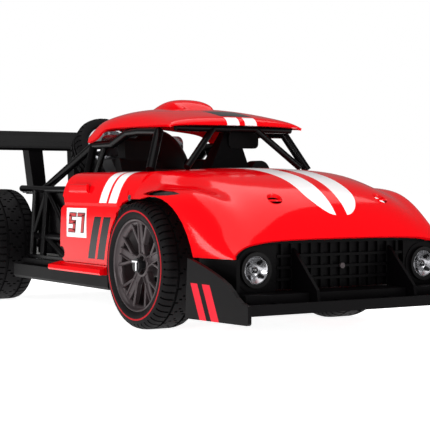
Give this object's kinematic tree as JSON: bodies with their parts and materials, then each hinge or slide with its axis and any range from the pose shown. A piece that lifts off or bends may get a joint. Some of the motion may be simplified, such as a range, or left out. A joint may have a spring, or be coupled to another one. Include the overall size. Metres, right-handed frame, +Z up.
{
  "type": "remote-controlled drift car",
  "caption": "Remote-controlled drift car with red body panels, open black tube-frame cab, steered front wheels, driven rear axle, rear wing and front splitter.",
  "frame": {"origin": "on the ground, under the middle of the car", "axes": "+X forward to the nose, +Y to the car's left, +Z up"},
  "size_m": [0.345, 0.1416, 0.1159],
  "materials": {
    "red_body": "glossy red moulded body",
    "black_frame": "satin black tube",
    "black_moulding": "satin black moulding",
    "black_trim": "black trim",
    "vent_mesh": "dark mesh",
    "chrome_plate": "vacuum-plated plastic",
    "lamp_lens": "dark lamp",
    "engine_grey": "dark grey moulding",
    "gearbox_grey": "grey moulding",
    "motor_steel": "plated can",
    "steel": "bright steel",
    "brass": "turned brass",
    "nylon_gear": "natural nylon",
    "gunmetal_rim": "gunmetal paint",
    "silver_rim": "silver paint",
    "tyre_rubber": "black rubber",
    "nylon_black": "black nylon",
    "battery_wrap": "shrink wrap",
    "board_green": "solder mask"
  },
  "bodies": {
    "chassis": {"axle_bushes": "nylon_gear", "battery_pack": "battery_wrap", "body_screws": "steel", "cab_hoop_left": "black_frame", "cab_hoop_right": "black_frame", "cab_tray": "black_trim", "chassis_tub": "black_moulding", "circuit_board": "board_green", "door_handles": "red_body", "drive_motor": "motor_steel", "end_plate_left": "black_moulding", "end_plate_right": "black_moulding", "engine_block": "engine_grey", "engine_cover": "black_trim", "engine_intake": "chrome_plate", "fender_vents": "vent_mesh", "front_beam": "black_moulding", "front_bumper": "black_moulding", "front_clip": "red_body", "gearbox_housing": "gearbox_grey", "grille_fins": "black_moulding", "grille_panel": "black_moulding", "headlight_bezels": "black_trim", "headlight_leds": "lamp_lens", "headlight_reflectors": "chrome_plate", "rear_deck": "black_moulding", "rear_frame_left": "black_frame", "rear_frame_right": "black_frame", "roof_panel": "red_body", "roof_post": "black_moulding", "roof_scoop": "red_body", "running_board_left": "red_body", "running_board_right": "red_body", "seat_left": "black_trim", "seat_right": "black_trim", "side_panel_left": "red_body", "side_panel_right": "red_body", "spare_wheel_bracket": "black_moulding", "spare_wheel_rim": "silver_rim", "spare_wheel_tyre": "tyre_rubber", "splitter": "black_moulding", "steering_servo": "nylon_black", "windscreen_frame": "black_frame", "wing_blade": "black_moulding", "wing_posts": "black_moulding"},
    "battery_cover": {"battery_cover": "black_moulding"},
    "power_switch": {"power_switch": "nylon_black"},
    "tie_rod": {"tie_rod": "nylon_black"},
    "servo_arm": {"servo_arm": "nylon_black"},
    "knuckle_right": {"knuckle_right": "nylon_black"},
    "knuckle_left": {"knuckle_left": "nylon_black"},
    "front_wheel_right": {"front_rim_right": "gunmetal_rim", "front_tyre_right": "tyre_rubber"},
    "front_wheel_left": {"front_rim_left": "gunmetal_rim", "front_tyre_left": "tyre_rubber"},
    "rear_axle": {"rear_axle": "steel", "rear_rims": "gunmetal_rim", "rear_tyres": "tyre_rubber", "spur_gear": "nylon_gear"},
    "motor_shaft": {"motor_pinion": "brass"}
  },
  "joints": [
    {"name": "steer_right", "type": "hinge", "parent": "chassis", "child": "knuckle_right", "pos_m": [0.0675, -0.037, 0.031], "axis": [0, 0, 1], "range_deg": [-20, 20]},
    {"name": "steer_left", "type": "hinge", "parent": "chassis", "child": "knuckle_left", "pos_m": [0.0675, 0.037, 0.031], "axis": [0, 0, 1], "range_deg": [-20, 20]},
    {"name": "tie_rod_slide", "type": "slide", "parent": "chassis", "child": "tie_rod", "axis": [0, 1, 0], "range_m": [-0.0049, 0.0049]},
    {"name": "servo_arm_turn", "type": "hinge", "parent": "chassis", "child": "servo_arm", "pos_m": [0.0439, 0, 0.031], "axis": [0, 0, 1], "range_deg": [-29.5, 29.5]},
    {"name": "front_wheel_right_spin", "type": "hinge", "parent": "knuckle_right", "child": "front_wheel_right", "pos_m": [0.0675, -0.055, 0.031], "axis": [0, 1, 0], "continuous": true},
    {"name": "front_wheel_left_spin", "type": "hinge", "parent": "knuckle_left", "child": "front_wheel_left", "pos_m": [0.0675, 0.055, 0.031], "axis": [0, 1, 0], "continuous": true},
    {"name": "rear_axle_spin", "type": "hinge", "parent": "chassis", "child": "rear_axle", "pos_m": [-0.127, 0, 0.0335], "axis": [0, 1, 0], "continuous": true},
    {"name": "motor_shaft_spin", "type": "hinge", "parent": "chassis", "child": "motor_shaft", "pos_m": [-0.11524, -0.009, 0.0455], "axis": [0, 1, 0], "continuous": true},
    {"name": "power_switch_slide", "type": "slide", "parent": "chassis", "child": "power_switch", "axis": [1, 0, 0], "range_m": [0, 0.004]},
    {"name": "battery_cover_slide", "type": "slide", "parent": "chassis", "child": "battery_cover", "axis": [-1, 0, 0], "range_m": [0, 0.06]}
  ],
  "couplings": [
    {"joint": "steer_left", "follows": "steer_right", "ratio": 1},
    {"joint": "tie_rod_slide", "follows": "steer_right", "m_per_rad": -0.014},
    {"joint": "servo_arm_turn", "follows": "steer_right", "ratio": -1.4583},
    {"joint": "motor_shaft_spin", "follows": "rear_axle_spin", "ratio": -3}
  ]
}
